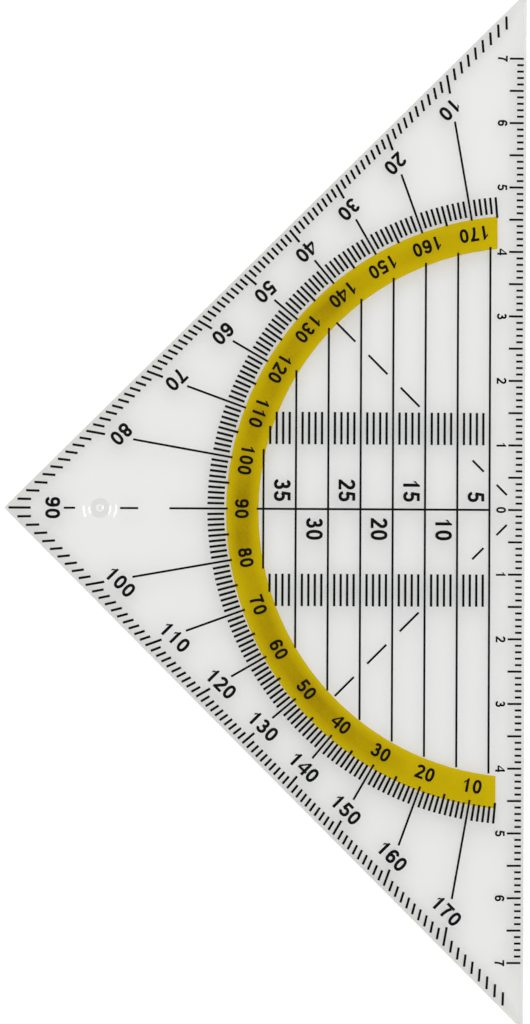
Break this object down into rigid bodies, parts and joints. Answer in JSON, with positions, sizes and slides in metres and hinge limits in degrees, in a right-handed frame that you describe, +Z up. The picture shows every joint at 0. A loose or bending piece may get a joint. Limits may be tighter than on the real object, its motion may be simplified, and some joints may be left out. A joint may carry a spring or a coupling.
{
  "type": "geometry triangle",
  "caption": "Clear plastic set square with a zero-centred ruler along its long edge, a protractor with a yellow band, and parallel lines for drawing and measuring.",
  "frame": {"origin": "the zero mark, which is the protractor's centre and the ruler's zero, on the underside", "axes": "+X along the long drawing edge to the right of the reader, +Y out across the long edge, away from the right-angled corner, +Z up out of the printed face"},
  "size_m": [0.1604, 0.0805, 0.002],
  "materials": {
    "clear_plastic": "clear, polished by the mould",
    "yellow_ink": "screen-printed, slightly see-through",
    "black_ink": "screen-printed"
  },
  "bodies": {
    "root": {"plate": "clear_plastic", "yellow_band": "yellow_ink", "ruler_ticks": "black_ink", "ruler_figures": "black_ink", "edge_degree_ticks": "black_ink", "edge_degree_figures": "black_ink", "arc_degree_ticks": "black_ink", "degree_rays": "black_ink", "apex_line": "black_ink", "band_figures": "black_ink", "parallel_lines": "black_ink", "left_hatch": "black_ink", "right_hatch": "black_ink", "row_figures": "black_ink", "diagonal_dashes": "black_ink"}
  },
  "joints": []
}
